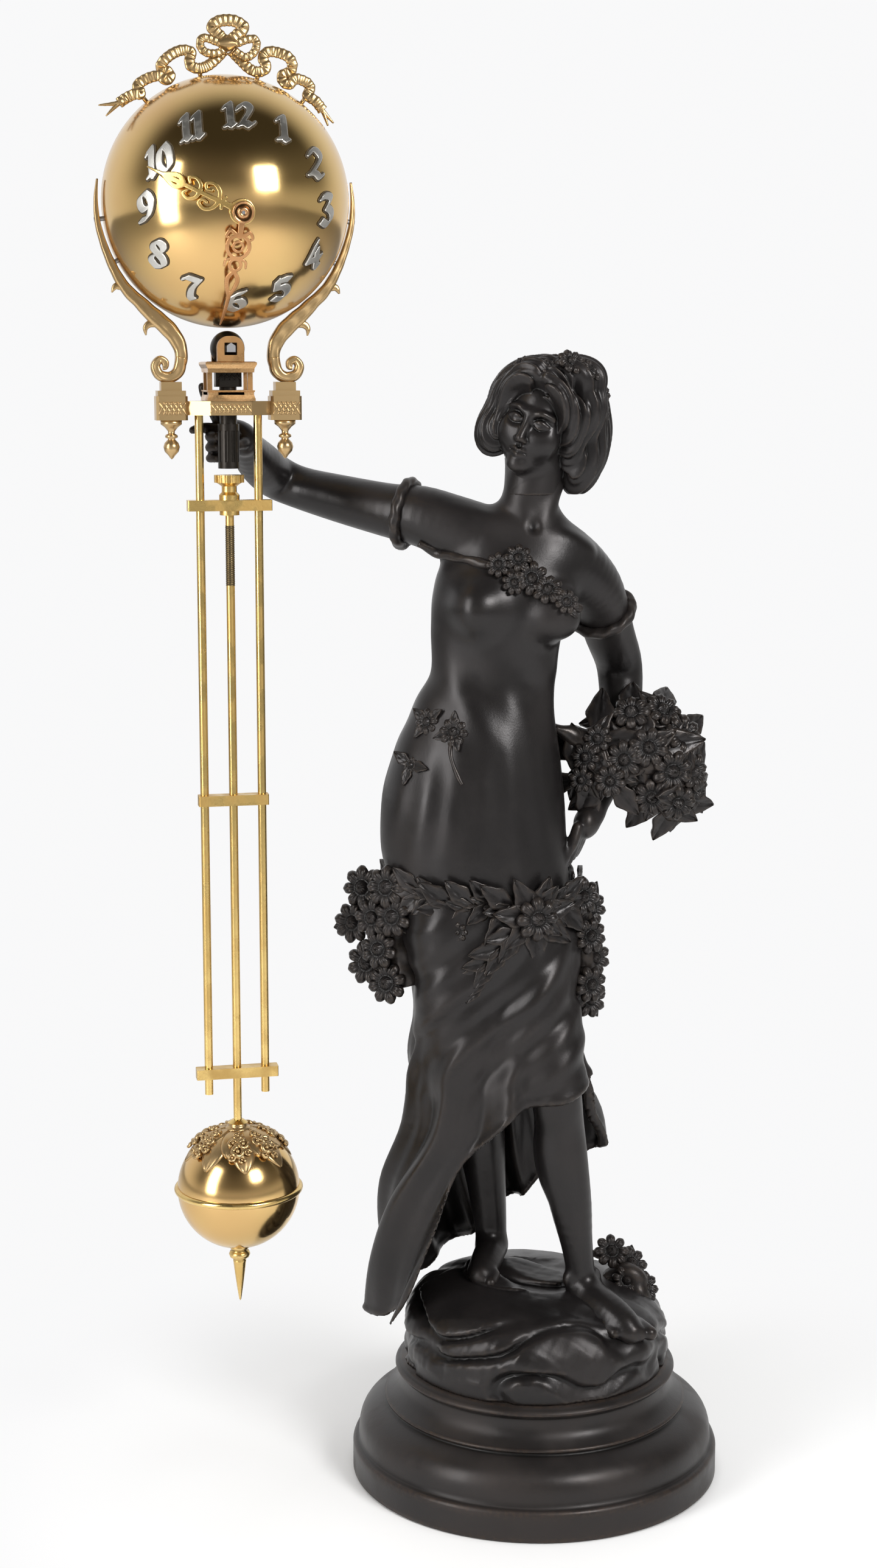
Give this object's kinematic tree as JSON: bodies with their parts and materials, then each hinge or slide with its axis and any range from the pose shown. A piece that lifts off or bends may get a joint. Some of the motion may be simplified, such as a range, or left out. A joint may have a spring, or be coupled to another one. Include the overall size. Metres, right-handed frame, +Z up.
{
  "type": "mystery clock",
  "caption": "Dark cast figure on a round stepped base holding a post on which a brass ball clock swings with its long pendulum.",
  "frame": {"origin": "middle of the footprint of the whole clock, on the surface that the base stands on", "axes": "+Z up, dial towards -Y, post and swinging clock towards -X of the figure"},
  "size_m": [0.3015, 0.184, 0.711],
  "materials": {
    "bronze": "cast, dark brown bronze patina with worn high places",
    "dark_post": "cast, dark patina",
    "steel": "plain steel",
    "gilt_casting": "cast and gilt brass, darkened in the hollows",
    "polished_brass": "polished, warm rose brass",
    "movement_brass": "plain movement brass",
    "silvered": "silvered and slightly dull",
    "gilt_hands": "polished gilt",
    "cast_weight": "plain casting"
  },
  "bodies": {
    "statue": {"base_plinth": "bronze", "base_bolt": "steel", "rock_mound": "bronze", "figure_torso": "bronze", "figure_head": "bronze", "figure_skirt": "bronze", "forward_leg": "bronze", "rear_leg": "bronze", "raised_arm": "bronze", "side_arm": "bronze", "sleeve_bands": "bronze", "hip_garland": "bronze", "left_hip_flowers": "bronze", "right_hip_flowers": "bronze", "bouquet": "bronze", "mound_flowers": "bronze", "bodice_garland": "bronze", "suspension_post": "dark_post", "knife_bar": "steel"},
    "swinger": {"suspension_yoke": "gilt_casting", "cradle_ring": "gilt_casting", "pendant_finials": "gilt_casting", "scroll_arm_right": "gilt_casting", "scroll_arm_left": "gilt_casting", "cradle_screws": "steel", "ball_front_shell": "polished_brass", "ball_back_shell": "polished_brass", "seam_band": "movement_brass", "dial_numerals": "silvered", "bow_ornament": "gilt_casting", "back_plate": "movement_brass", "front_plate": "movement_brass", "plate_pillars": "movement_brass", "plate_screws": "steel", "mainspring": "steel", "side_rods": "polished_brass", "upper_bar": "polished_brass", "middle_bar": "polished_brass", "lower_bar": "polished_brass"},
    "minute_works": {"centre_arbor": "steel", "centre_wheel": "movement_brass", "minute_hand": "gilt_hands", "hand_nut": "gilt_hands"},
    "hour_works": {"hour_wheel": "movement_brass", "hour_hand": "gilt_hands"},
    "motion_work": {"minute_wheel": "movement_brass"},
    "great_works": {"great_wheel": "movement_brass"},
    "winding_works": {"winding_arbor": "steel"},
    "third_works": {"third_wheel": "movement_brass"},
    "escape_works": {"escape_wheel": "movement_brass"},
    "verge_works": {"verge": "steel", "pendulet_bob": "movement_brass"},
    "rating_works": {"rating_nut": "polished_brass"},
    "pendulum": {"pendulum_rod": "polished_brass", "bob_upper_shell": "polished_brass", "bob_lower_shell": "polished_brass", "bob_ring": "polished_brass", "bob_cap": "gilt_casting", "bob_weight": "cast_weight", "bob_finial": "polished_brass"}
  },
  "joints": [
    {"name": "clock_swing", "type": "hinge", "parent": "statue", "child": "swinger", "pos_m": [-0.09105, 0, 0.562], "axis": [0, 1, 0], "range_deg": [-5, 5]},
    {"name": "minute_turn", "type": "hinge", "parent": "swinger", "child": "minute_works", "pos_m": [-0.09105, 0, 0.6253], "axis": [0, 0.9914, 0.1305], "continuous": true},
    {"name": "hour_turn", "type": "hinge", "parent": "swinger", "child": "hour_works", "pos_m": [-0.09105, 0, 0.6253], "axis": [0, 0.9914, 0.1305], "continuous": true},
    {"name": "motion_turn", "type": "hinge", "parent": "swinger", "child": "motion_work", "pos_m": [-0.07705, 0, 0.6253], "axis": [0, 0.9914, 0.1305], "continuous": true},
    {"name": "great_turn", "type": "hinge", "parent": "swinger", "child": "great_works", "pos_m": [-0.09105, 0.00326, 0.60052], "axis": [0, 0.9914, 0.1305], "continuous": true},
    {"name": "winding_turn", "type": "hinge", "parent": "swinger", "child": "winding_works", "pos_m": [-0.09105, 0.00326, 0.60052], "axis": [0, 0.9914, 0.1305], "continuous": true},
    {"name": "third_turn", "type": "hinge", "parent": "swinger", "child": "third_works", "pos_m": [-0.10655, -0.00196, 0.64021], "axis": [0, 0.9914, 0.1305], "continuous": true},
    {"name": "escape_turn", "type": "hinge", "parent": "swinger", "child": "escape_works", "pos_m": [-0.09105, -0.00287, 0.64711], "axis": [0, 0.9914, 0.1305], "continuous": true},
    {"name": "verge_rock", "type": "hinge", "parent": "swinger", "child": "verge_works", "pos_m": [-0.09105, -0.00476, 0.66149], "axis": [0, 0.9914, 0.1305], "range_deg": [-3, 3]},
    {"name": "pendulum_rate", "type": "slide", "parent": "swinger", "child": "pendulum", "axis": [0, 0, 1], "range_m": [-0.004, 0.003]},
    {"name": "rating_turn", "type": "hinge", "parent": "swinger", "child": "rating_works", "pos_m": [-0.09105, 0, 0.4849], "axis": [0, 0, 1], "range_deg": [-2160, 2160]}
  ],
  "couplings": [
    {"joint": "hour_turn", "follows": "minute_turn", "ratio": 0.083333},
    {"joint": "motion_turn", "follows": "minute_turn", "ratio": -0.33333},
    {"joint": "great_turn", "follows": "minute_turn", "ratio": -0.16667},
    {"joint": "third_turn", "follows": "minute_turn", "ratio": -8},
    {"joint": "escape_turn", "follows": "minute_turn", "ratio": 60},
    {"joint": "rating_turn", "follows": "pendulum_rate", "rad_per_m": 8976}
  ]
}
